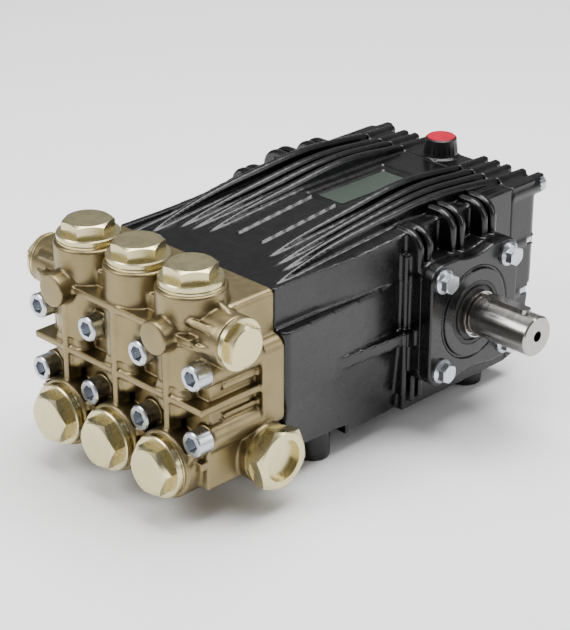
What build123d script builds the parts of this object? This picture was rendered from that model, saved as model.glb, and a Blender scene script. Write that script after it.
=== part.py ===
from build123d import *
import math
import os

# Triplex plunger pump for a pressure washer.
# Frame: origin at the centre of the four foot bolts on the mounting face, X along the
# crankshaft towards its driven end, Y from the brass head to the rear cover, Z up. Millimetres.

# ---------------------------------------------------------------- driving dimensions
# drive
pitch = 52.0                 # spacing of the three cylinders
axis_z = 88.0                # crankshaft and plunger axis above the mounting face
crank_y = 35.0               # crankshaft axis behind the foot pattern's centre
throw = 9.0                  # crank throw, half the stroke
rod_length = 80.0            # crankpin to wrist pin
crank_angles = (180.0, 60.0, -60.0)
fit = 0.05                   # radial clearance of a running fit
seat = 0.03                  # radial clearance of a part held in its seat

# feet
foot_inset = 21.0            # bolt axis inside the side wall
foot_y = 83.0
foot_r = 12.5
foot_root = 18.0             # how far a foot reaches up into the case
foot_hole_r = 4.25           # core of an M10 thread
foot_hole_depth = 14.0

# crankcase: heights are above the mounting face, or above the shaft axis where so said
housing_reach = 15.0         # bearing housings stand this far out of the side walls
front_flare = 5.0            # the sides widen to the head by this much below the step
front_narrow = 5.0           # and narrow by this much above it
deck_front = 56.0            # top face at the head, above the shaft axis
deck_rear = 68.0             # top face behind the break, above the shaft axis
step_up = 33.0               # the narrow front widens to the full case at this height above the axis
case_floor_z = 16.0
front_floor_z = 23.5         # underside ahead of the front feet
front_step_y = -67.0
deck_break = 41.0            # the deck slopes ahead of this distance before the crankshaft
taper_back = 49.0            # the sides are parallel behind this distance before the crankshaft
shoulder_y = -95.0           # the narrow front ends here
crank_room = 68.0            # crankshaft axis to the rear joint
wall = 8.0
side_wall = 13.0
draft = 8.0                  # the lower side walls lean in by this much
draft_front_z = 63.0         # crease above which the side walls are upright, at the head
draft_rear_z = 80.0          # and at the bearing housings
guide_room = 11.0            # crosshead at its foremost to the end of its guide
seal_step = 4.5              # wall between the guide and the oil seal
seal_width = 8.0
seal_gap = 2.0               # room ahead of the oil seal
front_well = 38.5            # guide end to the joint with the head

# bearing housings and covers
housing_half = 47.0
cover_thickness = 10.0
cover_corner_r = 13.0
waist_r = 60.0
waist_depth = 3.0
cover_bolt = 35.0            # bolt square, half spacing
bolt_r = 4.0                 # M8
bolt_clear = 0.4
bolt_flange_r = 9.0
bolt_hex = 13.0
bolt_head = 9.0
bolt_length = 22.0
hub_r = 33.0                 # raised hub of the bearing cover
hub_groove = 2.5
arch_width = 6.5
arch_round = 2.2

# main bearings, 35 x 72 x 17
bearing_r = 36.0
bearing_width = 17.0
bearing_sink = 5.0           # outer face of a bearing inside the housing's face
ball_r = 5.5
ball_count = 9
race_half = 4.0              # half the gap between the two rings

# crankshaft
shaft_r = 15.0
land_step = 2.4              # the seal land is larger than the shaft
race_step = 0.1              # and the bearing seats are larger than the land
pin_r = 14.0
web_r = 25.0
web_gap = 12.0               # half width of a crankpin between its webs
end_web = 8.0
web_clear = 4.0              # end web to bearing
land_reach = 6.0             # the seal land ends this far outside the cover
shaft_length = 52.0          # free length outside the seal land
shaft_chamfer = 1.2
shaft_tap_r = 4.0
shaft_tap_depth = 24.0
key_width = 8.0
key_height = 7.0
key_proud = 3.0
key_start_gap = 7.0
key_end_gap = 8.0
lip_seal_section = 6.6

# connecting rods and crossheads
big_end_r = 20.5
big_end_half = 9.0
rod_bolt_r = 2.5
rod_bolt_head_r = 4.3
rod_bolt_z = 17.5
rod_bolt_seat = 9.0          # bolt seats behind and ahead of the crankpin axis
rod_bolt_wall = 4.5
shank_half = 6.0
shank_flange = 5.0
small_end_r = 7.0
small_end_half = 7.0
wrist_pin_r = 5.0
wrist_pin_half = 9.0
crosshead_r = 21.0
crosshead_bore_r = 18.3
crown_inner = 27.0           # wrist pin to the inside of the crown
crown_thickness = 6.0
crosshead_tail = 14.0
plunger_rod_r = 9.0
plunger_r = 10.0
plunger_length = 65.0

# head
head_depth = 75.5
flange_depth = 20.0
flange_top_depth = 38.0      # the upper block reaches forward to the towers
flange_top = 63.25           # above the plunger axis
flange_step_top = 32.0
flange_step_bottom = -34.0
panel_depth = 14.0           # panels behind the front ribs
panel_inset = 8.0            # panels' ends inside the flange's sides
panel_half = 43.0            # height of the panels above and below the axis
screw_outset = 26.5          # outer screws outside the outer cylinders
screw_z = 24.25
screw_r = 6.0                # M12
screw_clear = 0.5
screw_head_r = 9.0
screw_head = 12.0
screw_socket = 10.0
screw_boss_r = 10.0
screw_sink = 10.5            # screw seats behind the head's front
screw_bite = 26.0            # thread length in the crankcase
rib = 5.0
top_rib = 48.25              # above the plunger axis
dome_r = 17.0
tower_r = 24.6
tower_back = 25.5            # tower axis behind the head's front
tower_top = 75.8             # above the plunger axis
tower_lip = 1.8
suction_drop = 48.25         # suction valves below the plunger axis
suction_proud = 3.6          # suction bosses ahead of the head's front
block_back = 9.0             # suction block behind the head's front
block_top = 16.0
block_bottom = 13.5
pad_r = 12.0
pad_proud = 10.0
bridge_half = 9.0            # blocks between the towers
cap_hex = 32.0
cap_hex_height = 8.7
cap_collar_r = 22.4
cap_collar = 6.0
cap_thread_r = 17.4
cap_thread = 12.0
cap_nose_r = 14.6
cap_nose = 6.0
cap_room = 0.5
valve_bore_r = 15.0
valve_depth = 46.0           # from the tower face to the seat shoulder
suction_valve_depth = 40.0
port_passage_r = 9.0
inlet_passage_r = 7.0
chamber_gap = 2.5            # chamber wall to plunger
chamber_wall = 8.0
packing_section = 7.0
packing_depth = 35.6

# ports
discharge_reach = 43.0       # face of the discharge boss outside the outer cylinder
discharge_z = 47.0           # above the plunger axis
discharge_boss_r = 18.5
discharge_thread_r = 10.4    # G 1/2
discharge_thread = 13.0
discharge_hex = 27.0
discharge_collar_r = 18.0
discharge_head = 8.0
discharge_gallery_r = 7.0
suction_reach = 8.0          # face of the suction boss outside the case's side
suction_back = 18.5          # suction gallery ahead of the joint with the case
suction_boss_r = 21.5
suction_thread_r = 16.6      # G 1
suction_thread = 15.0
suction_hex = 41.0
suction_collar_r = 22.0
suction_head = 12.5
suction_recess_r = 15.0
suction_gallery_r = 13.0
gallery_wall = 7.0
washer = 2.0

# valves
seat_height = 8.0
seat_bore_r = 8.0
plate_r = 11.3
plate_height = 2.5
cage_r = 14.5
cage_bore_r = 12.0
cage_roof = 3.0
cage_window = 12.0
spring_r = 7.0
spring_wire_r = 0.7
spring_turns = 4.5

# rear cover and oil fittings
gasket = 0.8
cover_depth = 31.0
cover_crease = 3.0           # the rear face slopes in below this height above the axis
cover_screw_inset = 6.5
cover_screw_low = 12.0       # lowest cover screws above the case's floor
cover_screw_high = 7.0       # highest ones below the deck
cover_screw_head_r = 6.5
cover_screw_head = 8.0
cover_screw_seat = 9.0       # depth of the pockets for their heads
cover_screw_bite = 18.0
cover_boss_r = 7.5
cover_boss_reach = 10.0      # the top bosses stand this far behind the cover
filler_back = 14.2
filler_boss_r = 13.5
filler_rise = 2.5
filler_thread_r = 8.0
filler_thread = 14.0
filler_clearance = 0.3
filler_cap_height = 13.0
filler_cap_r = 13.2
filler_disc_r = 10.8
stick_r = 1.5
stick_grip = 7.0
glass_r = 13.0
drain_back = 37.0
drain_up = 12.5
drain_r = 6.5
drain_seat_r = 12.0
drain_hex = 17.0

# top details
fin_width = 7.0
fin_nose = 2.6               # width of a fin at its front end
fin_round = 2.8
label_half = 13.0
label_front = 39.0           # before the crankshaft axis
label_back = 33.0
label_sink = 2.6
label_frame = 6.0            # shallow frame around the recess
label_frame_sink = 1.2
plate_thickness = 0.8

# each fin: start x and y, rear end x, and its crest above the rear deck at the stations
fin_stations = (-66.0, -13.0, 44.0)
fins = (
    (30.7, -102.0, 29.3, (-2.0, 5.0, 10.0, 4.5)),
    (43.3, -112.0, 41.0, (-2.5, 4.5, 9.0, 4.5)),
    (52.6, -112.0, 52.0, (-1.5, 5.5, 9.0, 4.0)),
    (63.0, -125.0, 66.5, (2.5, 8.5, 10.5, 4.5)),
)

# ---------------------------------------------------------------- derived places
cylinders = (-pitch, 0.0, pitch)
bearing_inner_x = pitch + web_gap + end_web + web_clear
housing_x = bearing_inner_x + bearing_width + bearing_sink
cover_x = housing_x + cover_thickness
case_half = housing_x - housing_reach
case_front_wide = case_half + front_flare
case_front_half = case_half - front_narrow
foot_x = case_half - foot_inset
seal_land_r = shaft_r + land_step
bearing_bore_r = seal_land_r + race_step
seal_land_x = cover_x + land_reach
shaft_end_x = seal_land_x + shaft_length
lip_seal_r = seal_land_r + lip_seal_section

deck_front_z = axis_z + deck_front
deck_rear_z = axis_z + deck_rear
step_z = axis_z + step_up
deck_break_y = crank_y - deck_break
taper_y = crank_y - taper_back
case_rear_y = crank_y + crank_room
cover_y = case_rear_y + gasket
cover_rear_y = cover_y + cover_depth
cover_top_z = deck_rear_z + 0.5
cover_screw_x = case_half - cover_screw_inset
cover_screw_floor = case_floor_z + cover_screw_low
cover_screw_span = deck_rear_z - cover_screw_high - cover_screw_floor
cover_screw_zs = [cover_screw_floor + cover_screw_span * i / 3 for i in range(4)]

crosshead_length = crown_inner + crown_thickness
crosshead_foremost = crank_y - throw - rod_length - crosshead_length
crosshead_rearmost = crank_y + throw - rod_length - crosshead_length
guide_front_y = crosshead_foremost - guide_room
tail_rearmost = crank_y + throw - rod_length + crosshead_tail
guide_rear_y = tail_rearmost - 2.0
seal_rear_y = guide_front_y - seal_step
seal_front_y = seal_rear_y - seal_width
well_y = seal_front_y - seal_gap
plunger_rod_length = crosshead_rearmost - well_y
case_front_y = guide_front_y - front_well
oil_seal_r = plunger_rod_r + 6.0

head_front_y = case_front_y - head_depth
flange_y = case_front_y - flange_depth
screw_x = (pitch / 2, pitch + screw_outset)
screw_face_y = head_front_y + screw_sink
packing_r = plunger_r + packing_section
chamber_r = plunger_r + chamber_gap
packing_front_y = case_front_y - packing_depth
tower_y = head_front_y + tower_back
suction_face_y = head_front_y - suction_proud
block_front_y = head_front_y + block_back
suction_y = case_front_y - suction_back
suction_x = case_half + suction_reach
discharge_x = pitch + discharge_reach
suction_z = axis_z - suction_drop
discharge_axis_z = axis_z + discharge_z
tower_face_z = axis_z + tower_top
cap_ring_r = (cap_thread_r - cap_nose_r) / 2
filler_y = cover_y + filler_back
filler_boss_z = deck_rear_z + filler_rise
drain_y = crank_y + drain_back
drain_z = case_floor_z + drain_up
label_start_y = crank_y - label_front
label_end_y = crank_y + label_back
crank_pins = [
    (crank_y + throw * math.cos(math.radians(a)), axis_z + throw * math.sin(math.radians(a)))
    for a in crank_angles
]
wrist_ys = [
    y - math.sqrt(rod_length**2 - (z - axis_z) ** 2)
    for y, z in crank_pins
]


# ---------------------------------------------------------------- shape helpers
def box(x0, x1, y0, y1, z0, z1):
    """A block between two corners."""
    return Pos((x0 + x1) / 2, (y0 + y1) / 2, (z0 + z1) / 2) * Box(x1 - x0, y1 - y0, z1 - z0)


def rod_x(r, x0, x1, y, z):
    """A round bar along X."""
    return Pos((x0 + x1) / 2, y, z) * Rot(0, 90, 0) * Cylinder(r, x1 - x0)


def rod_y(r, y0, y1, x, z):
    """A round bar along Y."""
    return Pos(x, (y0 + y1) / 2, z) * Rot(90, 0, 0) * Cylinder(r, y1 - y0)


def rod_z(r, z0, z1, x, y):
    """A round bar along Z."""
    return Pos(x, y, (z0 + z1) / 2) * Cylinder(r, z1 - z0)


def tube_x(r, bore, x0, x1, y, z):
    return rod_x(r, x0, x1, y, z) - rod_x(bore, x0 - 1, x1 + 1, y, z)


def tube_y(r, bore, y0, y1, x, z):
    return rod_y(r, y0, y1, x, z) - rod_y(bore, y0 - 1, y1 + 1, x, z)


def hexagon(across_flats, height, turn=0.0):
    """A hexagon prism standing on XY, its top corners chamfered at 30 degrees."""
    prism = extrude(Rot(0, 0, turn) * RegularPolygon(across_flats / 2, 6, major_radius=False), height)
    top_r = 0.48 * across_flats
    depth = height + 4.0
    cone = Cone(top_r + depth * math.sqrt(3), top_r, depth, align=(Align.CENTER, Align.CENTER, Align.MAX))
    return prism & (Pos(0, 0, height) * cone)


def slab_x(points, x0, x1):
    """A plate with an outline of (y, z) points, from x0 to x1."""
    outline = Plane.YZ * make_face(Polyline(*points, close=True).edges())
    return Pos(x0, 0, 0) * extrude(outline, x1 - x0, dir=(1, 0, 0))


def slab_y(points, y0, y1):
    """A plate with an outline of (x, z) points, from y0 to y1."""
    outline = Plane.XZ * make_face(Polyline(*points, close=True).edges())
    return Pos(0, y0, 0) * extrude(outline, y1 - y0, dir=(0, 1, 0))


def slab_z(points, z0, z1):
    """A plate with an outline of (x, y) points, from z0 to z1."""
    outline = make_face(Polyline(*points, close=True).edges())
    return Pos(0, 0, z0) * extrude(outline, z1 - z0, dir=(0, 0, 1))


def mirrored(shape):
    """The same shape on the other side of the pump."""
    return mirror(shape, about=Plane.YZ)


def both_sides(shape):
    return shape + mirrored(shape)


def near_edges(shape, axis, low, high, length):
    """Edges parallel to an axis whose centre lies in a box and which are at least so long."""
    return [
        e for e in shape.edges().filter_by(axis)
        if e.length >= length
        and all(low[i] <= tuple(e.center())[i] <= high[i] for i in range(3))
    ]


# ---------------------------------------------------------------- crankcase and covers
def deck_z(y):
    """Height of the top face of the case at y."""
    share = min(1.0, max(0.0, (y - case_front_y) / (deck_break_y - case_front_y)))
    return deck_front_z + (deck_rear_z - deck_front_z) * share


def fin(start_x, start_y, end_x, crest):
    """One cooling fin with a rounded crest, thin in front, over the case and the rear cover."""
    rear_y = cover_rear_y + 2.0
    start_z = deck_z(start_y) - 0.5
    rear_z = deck_rear_z + crest[-1] - 1.5
    floor_z = deck_front_z - wall
    stations = [*fin_stations, case_rear_y + 1.0]
    points = [(start_y, start_z)] + [(y, deck_rear_z + z) for y, z in zip(stations, crest)] + [(rear_y, rear_z)]
    line = Spline([Vector(0, y, z) for y, z in points])
    sides = [
        Line((0, rear_y, rear_z), (0, rear_y, floor_z)),
        Line((0, rear_y, floor_z), (0, start_y, floor_z)),
        Line((0, start_y, floor_z), (0, start_y, start_z)),
    ]
    plate = extrude(make_face([line] + sides), fin_width / 2, dir=(1, 0, 0), both=True)
    long_top = [e for e in plate.edges() if e.center().Z > start_z and e.length > 100]
    plate = fillet(long_top, fin_round)
    half = fin_width / 2
    nose = fin_nose / 2
    plan = [(-nose, start_y), (nose, start_y), (half, taper_y), (half, rear_y), (-half, rear_y), (-half, taper_y)]
    plate &= slab_z(plan, floor_z, deck_rear_z + 50)
    lean = math.degrees(math.atan2(end_x - start_x, rear_y - start_y))
    return Pos(start_x, start_y, 0) * Rot(0, 0, -lean) * Pos(0, -start_y, 0) * plate


def all_fins(y0, y1):
    """Both groups of fins between two stations along the pump."""
    group = Part() + [fin(*spec) for spec in fins]
    return both_sides(group & box(0, case_half, y0, y1, 0, deck_rear_z + 50))


def housing(x0, x1):
    """A square bearing housing with round corners and shallow waists above and below."""
    block = box(x0, x1, crank_y - housing_half, crank_y + housing_half,
                axis_z - housing_half, axis_z + housing_half)
    block = fillet(block.edges().filter_by(Axis.X), cover_corner_r)
    for side in (-1, 1):
        waist_z = axis_z + side * (housing_half + waist_r - waist_depth)
        block -= rod_x(waist_r, x0 - 1, x1 + 1, crank_y, waist_z)
    return block


def arch_rib(y, rise):
    """A rounded rib that runs from the deck over the shoulder down to the bearing housing."""
    top = deck_rear_z + rise
    foot = axis_z + housing_half - 6.0
    outer = housing_x - 2.0
    root = case_half - 12.0
    bend = 15.0
    sides = [
        Line((root, top), (outer - bend, top)),
        TangentArc((outer - bend, top), (outer, top - bend), tangent=(1, 0)),
        Line((outer, top - bend), (outer, foot)),
        Line((outer, foot), (root, foot)),
        Line((root, foot), (root, top)),
    ]
    half = arch_width / 2
    plate = Pos(0, y - half, 0) * extrude(Plane.XZ * make_face(sides), arch_width, dir=(0, 1, 0))
    outside = [e for e in plate.edges() if abs(e.center().Y - y) > half - 0.1 and e.center().Z > foot + 1
               and e.center().X > root + 1]
    return fillet(outside, arch_round)


def upright_rib(y, x1, z0, z1):
    """A rounded upright rib on the side wall."""
    half = arch_width / 2 - 1.0
    plate = box(case_half - 10, x1, y - half, y + half, z0, z1)
    return fillet(near_edges(plate, Axis.Z, (x1 - 1, -999, 0), (x1 + 1, 999, 999), 5), half - 0.4)


def case_outline():
    """Side view of the case as (y, z) points."""
    return [
        (case_front_y, axis_z + flange_step_bottom), (case_front_y + 16, front_floor_z + 4),
        (front_step_y, front_floor_z), (front_step_y, case_floor_z), (case_rear_y, case_floor_z),
        (case_rear_y, deck_rear_z), (deck_break_y, deck_rear_z), (case_front_y, deck_front_z),
    ]


def draft_cut():
    """Wedge outside the leaning lower part of one side wall, ahead of the bearing housing."""
    sections = []
    for y, half, crease in ((case_front_y - 1, case_front_wide, draft_front_z),
                            (crank_y - housing_half, case_half, draft_rear_z)):
        corners = [(half, crease), (half + 20, crease), (half + 20, -1), (half - draft, -1)]
        sections.append(make_face(Polyline(*[(x, y, z) for x, z in corners], close=True).edges()))
    return loft(sections, ruled=True)


def deck_rim():
    """The raised lip along one side of the deck."""
    thick = 5.0
    plan = [(case_front_half, case_front_y), (case_front_half, shoulder_y), (case_half, taper_y),
            (case_half, case_rear_y), (case_half - thick, case_rear_y), (case_half - thick, taper_y),
            (case_front_half - thick, shoulder_y + 1), (case_front_half - thick, case_front_y)]
    foot = deck_front_z - 10
    profile = [(case_front_y, foot), (case_front_y, axis_z + flange_top), (deck_break_y - 24, axis_z + flange_top),
               (deck_break_y, cover_top_z), (case_rear_y, cover_top_z), (case_rear_y, foot)]
    return slab_z(plan, foot, deck_rear_z + 50) & slab_x(profile, 0, case_half + 1)


def side_wedge():
    """The rib that grows out of one side wall into a lug at the bearing housing."""
    front_y = crank_y - housing_half
    plan = [(case_half - 1, -114.0), (case_half + 1, -108.0), (case_half + 9, front_y), (case_half - 1, front_y)]
    lug = box(case_half - 1, case_half + 11, front_y - 8, front_y + 1, axis_z - 15, axis_z - 4)
    return slab_z(plan, axis_z - 14, axis_z - 5) + lug


def case_outside():
    plan = [(0, case_front_y), (case_front_wide, case_front_y), (case_half, taper_y), (case_half, case_rear_y),
            (0, case_rear_y)]
    side = slab_x(case_outline(), 0, case_front_wide) & slab_z(plan, 0, deck_rear_z + 50)
    above_step = [(case_front_half, case_front_y - 1), (case_front_wide + 1, case_front_y - 1),
                  (case_front_wide + 1, taper_y), (case_half, taper_y), (case_front_half, shoulder_y)]
    side -= slab_z(above_step, step_z, deck_rear_z + 50)
    side = fillet(near_edges(side, Axis.Z, (1, case_front_y - 1, 0), (999, case_front_y + 1, step_z), 20), 6)
    side -= draft_cut()
    side += deck_rim()
    side += side_wedge()
    side += housing(case_half - 1, housing_x)
    # arched ribs in three pairs, and upright ribs in front of and below the housing
    for y, rise in ((-9.0, 2.0), (0.5, 2.0), (25.0, 7.5), (34.5, 7.5), (59.0, 5.5), (68.5, 5.5)):
        side += arch_rib(y, rise)
    front_y = crank_y - housing_half
    side += upright_rib(front_y - 2.5, case_half + 5, 30, axis_z + housing_half + 6)
    for y in (front_y + 4.5, front_y + 12.5):
        side += upright_rib(y, case_half + 7, 24, axis_z - housing_half + 6)
    return both_sides(side)


def crankcase():
    body = case_outside()
    for x in (-foot_x, foot_x):
        for y in (-foot_y, foot_y):
            body += rod_z(foot_r, 0, case_floor_z + foot_root, x, y)
    body += rod_x(drain_seat_r, -case_half, -case_half + side_wall, drain_y, drain_z)
    body += all_fins(case_front_y, case_rear_y)
    # two slim guide ribs ahead of the name plate, level with the slope of the deck
    guide = [(-84.0, deck_z(-84.0) - 3), (-84.0, deck_z(-84.0) + 1.5),
             (label_start_y - label_frame, deck_z(label_start_y - label_frame) + 1.5),
             (label_start_y - label_frame, deck_z(label_start_y) - 3)]
    body += both_sides(slab_x(guide, label_half - 2.2, label_half))
    # inside: crank chamber, sump and upper hollow beside the guides
    inner = case_half - side_wall
    roof = deck_front_z - 6.0
    body -= box(-inner, inner, guide_rear_y, case_rear_y + 1, case_floor_z + wall, deck_rear_z - wall)
    body -= box(-inner, inner, guide_front_y, guide_rear_y + 1, front_floor_z + 12, axis_z - crosshead_r - 6)
    body -= box(-inner + wall, inner - wall, guide_front_y, guide_rear_y + 1, axis_z + crosshead_r + 5, roof)
    for x in cylinders:
        body -= rod_y(crosshead_r + fit, guide_front_y, tail_rearmost + 3, x, axis_z)
        body -= rod_y(packing_r + 2, case_front_y - 1, well_y, x, axis_z)
        body -= rod_y(oil_seal_r + seat, well_y - 1, seal_rear_y, x, axis_z)
        body -= rod_y(plunger_rod_r + 2, seal_rear_y - 1, guide_front_y + 1, x, axis_z)
    # bearing seats
    body -= rod_x(bearing_r + seat, -housing_x - 1, housing_x + 1, crank_y, axis_z)
    # threads for the screws of the head, the bearing covers, the rear cover and the feet
    for x, z in head_screw_places():
        body -= rod_y(screw_r + seat, case_front_y - 1, case_front_y + screw_bite + 2, x, z)
    for y, z in cover_bolt_places():
        body -= both_sides(rod_x(bolt_r + seat, cover_x - bolt_length - 2, housing_x + 1, y, z))
    for x, z in cover_screw_places():
        body -= rod_y(bolt_r + seat, case_rear_y - cover_screw_bite - 6, case_rear_y + 1, x, z)
    for x in (-foot_x, foot_x):
        for y in (-foot_y, foot_y):
            body -= rod_z(foot_hole_r, -1, foot_hole_depth, x, y)
    # name plate recess inside its shallow frame
    frame_half = label_half + label_frame
    body -= box(-frame_half, frame_half, label_start_y - label_frame, label_end_y + label_frame,
                deck_rear_z - label_frame_sink, deck_rear_z + 3)
    body -= box(-label_half, label_half, label_start_y, label_end_y, deck_rear_z - label_sink, deck_rear_z)
    # oil drain
    body -= rod_x(drain_r + seat, -case_half - 1, -case_half + side_wall + 2, drain_y, drain_z)
    return body


def cover_bolt_places():
    """Bolts of a bearing cover as (y, z)."""
    return [(crank_y + dy, axis_z + dz) for dy in (-cover_bolt, cover_bolt) for dz in (-cover_bolt, cover_bolt)]


def cover_screw_places():
    """Screws of the rear cover as (x, z)."""
    return [(x, z) for x in (-cover_screw_x, cover_screw_x) for z in cover_screw_zs]


def cover_boss_y(z):
    """Rear face of the screw boss at a height: the top ones stand out, the others lie in the face."""
    crease = axis_z + cover_crease - 6
    if z > deck_rear_z - 2 * cover_screw_high:
        return cover_rear_y + cover_boss_reach
    if z > crease:
        return cover_rear_y - 3.0
    share = (z - case_floor_z - 4) / (crease - case_floor_z - 4)
    return cover_y + cover_depth / 2 + (cover_depth / 2 - 5) * share


def rear_cover():
    crease = axis_z + cover_crease
    outline = [(cover_y, case_floor_z), (cover_y + cover_depth / 2, case_floor_z + 4), (cover_rear_y - 2, crease - 6),
               (cover_rear_y, crease), (cover_rear_y, cover_top_z - 10), (cover_rear_y - 5, cover_top_z),
               (cover_y, cover_top_z)]
    body = slab_x(outline, -case_half, case_half)
    rear_corners = near_edges(body, Axis.Z, (-999, cover_rear_y - 1, 0), (999, cover_rear_y + 1, 999), 20)
    body = fillet(rear_corners, 8)
    body += all_fins(cover_y, cover_rear_y + 10)
    inner = case_half - side_wall
    hollow = [(cover_y - 1, case_floor_z + wall), (cover_y + 10, case_floor_z + wall + 5),
              (cover_rear_y - wall - 4, crease), (cover_rear_y - wall, cover_top_z - 2 * wall),
              (cover_y - 1, cover_top_z - wall - 0.5)]
    body -= slab_x(hollow, -inner, inner)
    for x, z in cover_screw_places():
        body += rod_y(cover_boss_r, cover_y, cover_boss_y(z), x, z) & box(-case_half - 1, case_half + 1, 0, 999, 0, 999)
    for x, z in cover_screw_places():
        body -= rod_y(bolt_r + bolt_clear, cover_y - 1, cover_rear_y + 20, x, z)
        body -= rod_y(cover_screw_head_r + bolt_clear, cover_boss_y(z) - cover_screw_seat, cover_rear_y + 20, x, z)
    body += rod_z(filler_boss_r, cover_top_z - wall - 2, filler_boss_z, 0, filler_y)
    body -= rod_z(filler_thread_r + filler_clearance, cover_top_z - 2 * wall, filler_boss_z + 1, 0, filler_y)
    return body


def rear_cover_gasket():
    inner = case_half - side_wall
    plate = box(-case_half, case_half, case_rear_y, cover_y, case_floor_z + 0.5, deck_rear_z)
    plate -= box(-inner, inner, case_rear_y - 1, cover_y + 1, case_floor_z + wall, deck_rear_z - wall)
    for x, z in cover_screw_places():
        plate -= rod_y(bolt_r + bolt_clear, case_rear_y - 1, cover_y + 1, x, z)
    return plate


def socket_screw(r, head_r, head, socket, length):
    """A socket head screw with its head's underside at the origin, pointing along -Z."""
    screw = Pos(0, 0, head / 2) * Cylinder(head_r, head) + Pos(0, 0, -length / 2) * Cylinder(r, length)
    screw = chamfer(screw.edges().group_by(Axis.Z)[-1], head * 0.08)
    return screw - Pos(0, 0, head * 0.45) * extrude(RegularPolygon(socket / 2, 6, major_radius=False), head)


def rear_cover_screws():
    out = []
    for x, z in cover_screw_places():
        seat_y = cover_boss_y(z) - cover_screw_seat
        length = seat_y - case_rear_y + cover_screw_bite
        screw = socket_screw(bolt_r, cover_screw_head_r, cover_screw_head, 6.0, length)
        out.append(Pos(x, seat_y, z) * Rot(-90, 0, 0) * screw)
    return out


def bearing_cover(hole_r):
    """A bearing cover on the driven side; the blind one is its mirror with a smaller hole."""
    body = housing(housing_x, cover_x)
    body = chamfer(body.faces().sort_by(Axis.X)[-1].edges(), 0.8)
    spigot_x = bearing_inner_x + bearing_width + 0.2
    body += tube_x(bearing_r - seat, bearing_r - 6, spigot_x, housing_x, crank_y, axis_z)
    body -= tube_x(hub_r + hub_groove, hub_r, cover_x - 1.2, cover_x + 1, crank_y, axis_z)
    body += rod_x(hub_r, cover_x - 1.5, cover_x + 1.2, crank_y, axis_z)
    body -= rod_x(hole_r, bearing_inner_x, cover_x + 5, crank_y, axis_z)
    for y, z in cover_bolt_places():
        body -= rod_x(bolt_r + bolt_clear, housing_x - 1, cover_x + 1, y, z)
    # groove for the O-ring
    return body - tube_x(bearing_r + 1, bearing_r - 1.8, housing_x - 3.6, housing_x - 0.4, crank_y, axis_z)


def flange_bolt():
    """A flange bolt with its flange's underside at the origin, pointing along -Z."""
    bolt = Pos(0, 0, 1) * Cylinder(bolt_flange_r, 2) + Pos(0, 0, -bolt_length / 2) * Cylinder(bolt_r, bolt_length)
    cone = Cone(bolt_flange_r, bolt_hex / 2, 2.0, align=(Align.CENTER, Align.CENTER, Align.MIN))
    bolt += Pos(0, 0, 2) * cone
    return bolt + Pos(0, 0, 2) * hexagon(bolt_hex, bolt_head - 2)


def bearing_cover_bolts():
    out = []
    for y, z in cover_bolt_places():
        bolt = Pos(cover_x, y, z) * Rot(0, 90, 0) * flange_bolt()
        out += [bolt, mirrored(bolt)]
    return out


def cover_ring():
    return Pos(housing_x - 2.0, crank_y, axis_z) * Rot(0, 90, 0) * Torus(bearing_r - 0.9, 0.85)


# ---------------------------------------------------------------- drive
def crankshaft():
    inner = pitch - web_gap
    outer = pitch + web_gap
    race_end = bearing_inner_x + bearing_width + 3
    journal = rod_x(bearing_bore_r, outer, race_end, crank_y, axis_z)
    shaft = journal + mirrored(journal)
    shaft += rod_x(seal_land_r, race_end - 1, seal_land_x, crank_y, axis_z)
    # the free end's surface has its seam turned away from the key seat
    middle = (seal_land_x - 5 + shaft_end_x) / 2
    shaft += Pos(middle, crank_y, axis_z) * Rot(112.5, 0, 0) * rod_x(shaft_r, seal_land_x - 5 - middle,
                                                                     shaft_end_x - middle, 0, 0)
    shaft = chamfer(shaft.faces().sort_by(Axis.X)[-1].edges(), shaft_chamfer)
    for x, (y, z) in zip(cylinders, crank_pins):
        shaft += rod_x(pin_r, x - web_gap - 1, x + web_gap + 1, y, z)
    for x0, x1 in ((-outer - end_web, -outer), (-inner, -web_gap), (web_gap, inner), (outer, outer + end_web)):
        shaft += rod_x(web_r, x0, x1, crank_y, axis_z)
    shaft -= tube_x(seal_land_r - 0.8, shaft_r, seal_land_x - 2.5, seal_land_x + 1, crank_y, axis_z)
    # key seat and threaded centre
    top = axis_z + shaft_r + key_proud
    shaft -= key_block(seat, top - key_height - seat, top + 5)
    shaft -= rod_x(shaft_tap_r, shaft_end_x - shaft_tap_depth, shaft_end_x + 1, crank_y, axis_z)
    return shaft


def key_block(extra, z0, z1):
    """A round-ended key, or with extra its seat."""
    half = key_width / 2
    x0 = seal_land_x + key_start_gap + half
    x1 = shaft_end_x - key_end_gap - half
    block = box(x0, x1, crank_y - half - extra, crank_y + half + extra, z0, z1)
    for x in (x0, x1):
        block += rod_z(half + extra, z0, z1, x, crank_y)
    return block


def shaft_key():
    top = axis_z + shaft_r + key_proud
    return key_block(0.0, top - key_height, top)


def bearing_rings():
    """Inner and outer ring of the bearing on the driven side."""
    mean = (bearing_bore_r + bearing_r) / 2
    x0 = bearing_inner_x
    x1 = x0 + bearing_width
    groove = Pos((x0 + x1) / 2, crank_y, axis_z) * Rot(0, 90, 0) * Torus(mean, ball_r + fit)
    inner = tube_x(mean - race_half, bearing_bore_r + seat / 2, x0, x1, crank_y, axis_z) - groove
    outer = tube_x(bearing_r, mean + race_half, x0, x1, crank_y, axis_z) - groove
    balls = []
    for i in range(ball_count):
        a = 2 * math.pi * i / ball_count
        balls.append(Pos((x0 + x1) / 2, crank_y + mean * math.cos(a), axis_z + mean * math.sin(a)) * Sphere(ball_r))
    return inner, outer, balls


def shaft_seal():
    body = tube_x(lip_seal_r - seat, seal_land_r + fit, cover_x - 9.0, cover_x + 1.0, crank_y, axis_z)
    return body - tube_x(lip_seal_r - 2.5, seal_land_r + 2.1, cover_x - 0.5, cover_x + 2, crank_y, axis_z)


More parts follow.
